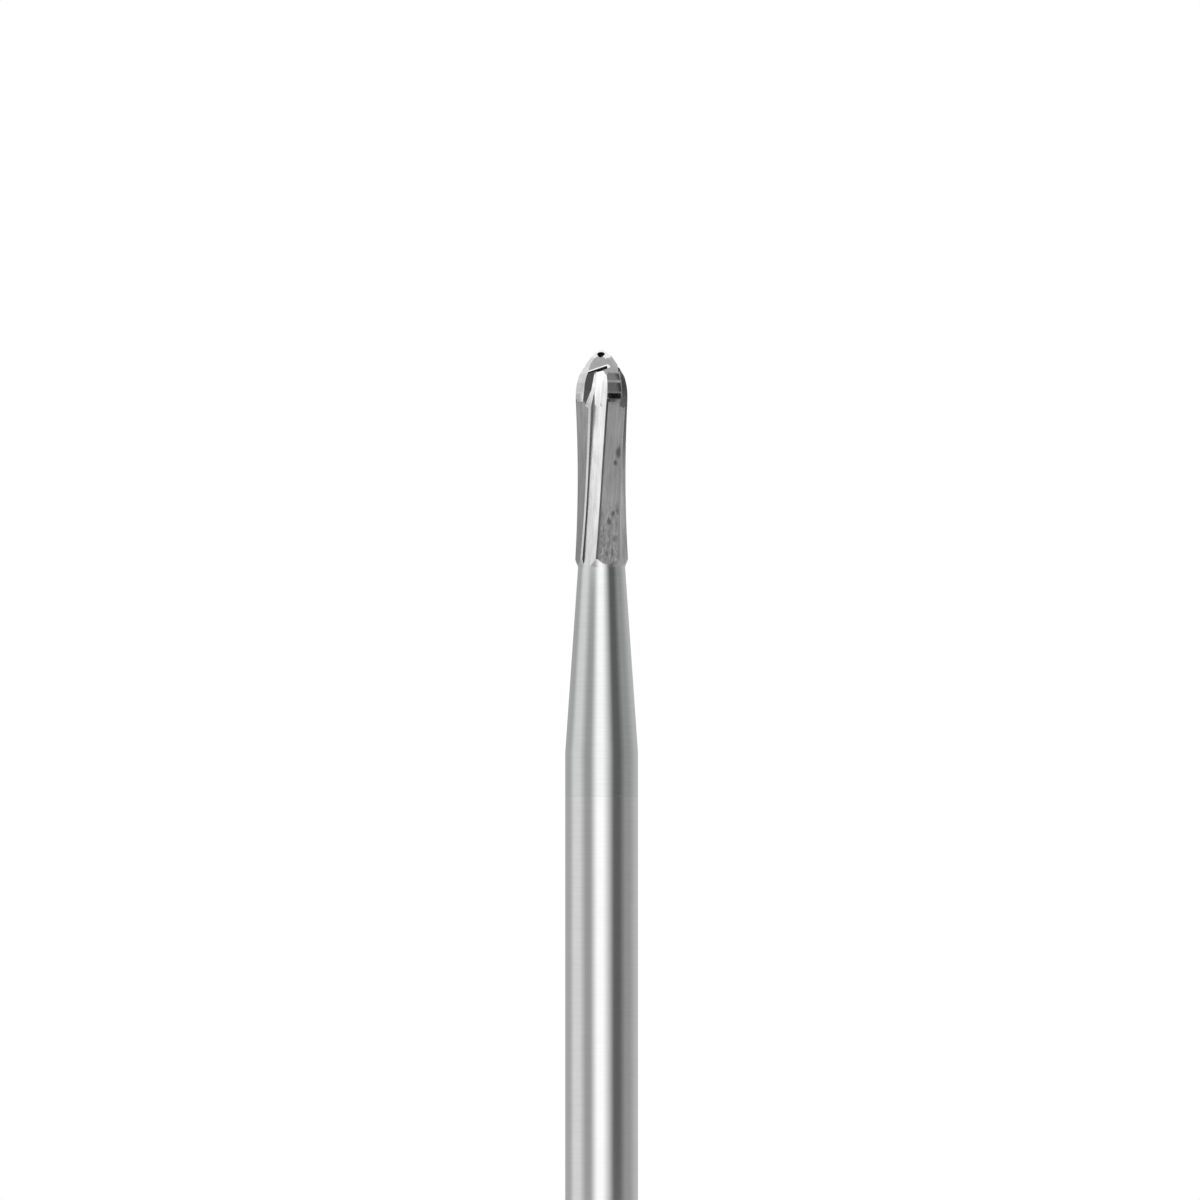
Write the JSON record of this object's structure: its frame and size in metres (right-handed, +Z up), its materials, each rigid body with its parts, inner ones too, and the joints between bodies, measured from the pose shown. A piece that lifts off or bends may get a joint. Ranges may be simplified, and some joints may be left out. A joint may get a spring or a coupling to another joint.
{
  "type": "dental bur",
  "caption": "Friction-grip dental bur: plain steel shank, tapered neck and slim fluted carbide head with a pointed crown",
  "frame": {"origin": "centre of the flat free end of the shank, on the bur's axis of rotation", "axes": "+Z runs up the axis from the free end of the shank to the cutting tip; -Y faces the camera of the picture"},
  "size_m": [0.0016, 0.0016, 0.021],
  "materials": {
    "shank_steel": "fine ground, bright",
    "ground_carbide": "ground, satin on the flats and bright in the flutes"
  },
  "bodies": {
    "root": {"steel_shank": "shank_steel", "carbide_head_and_neck": "ground_carbide"}
  },
  "joints": []
}
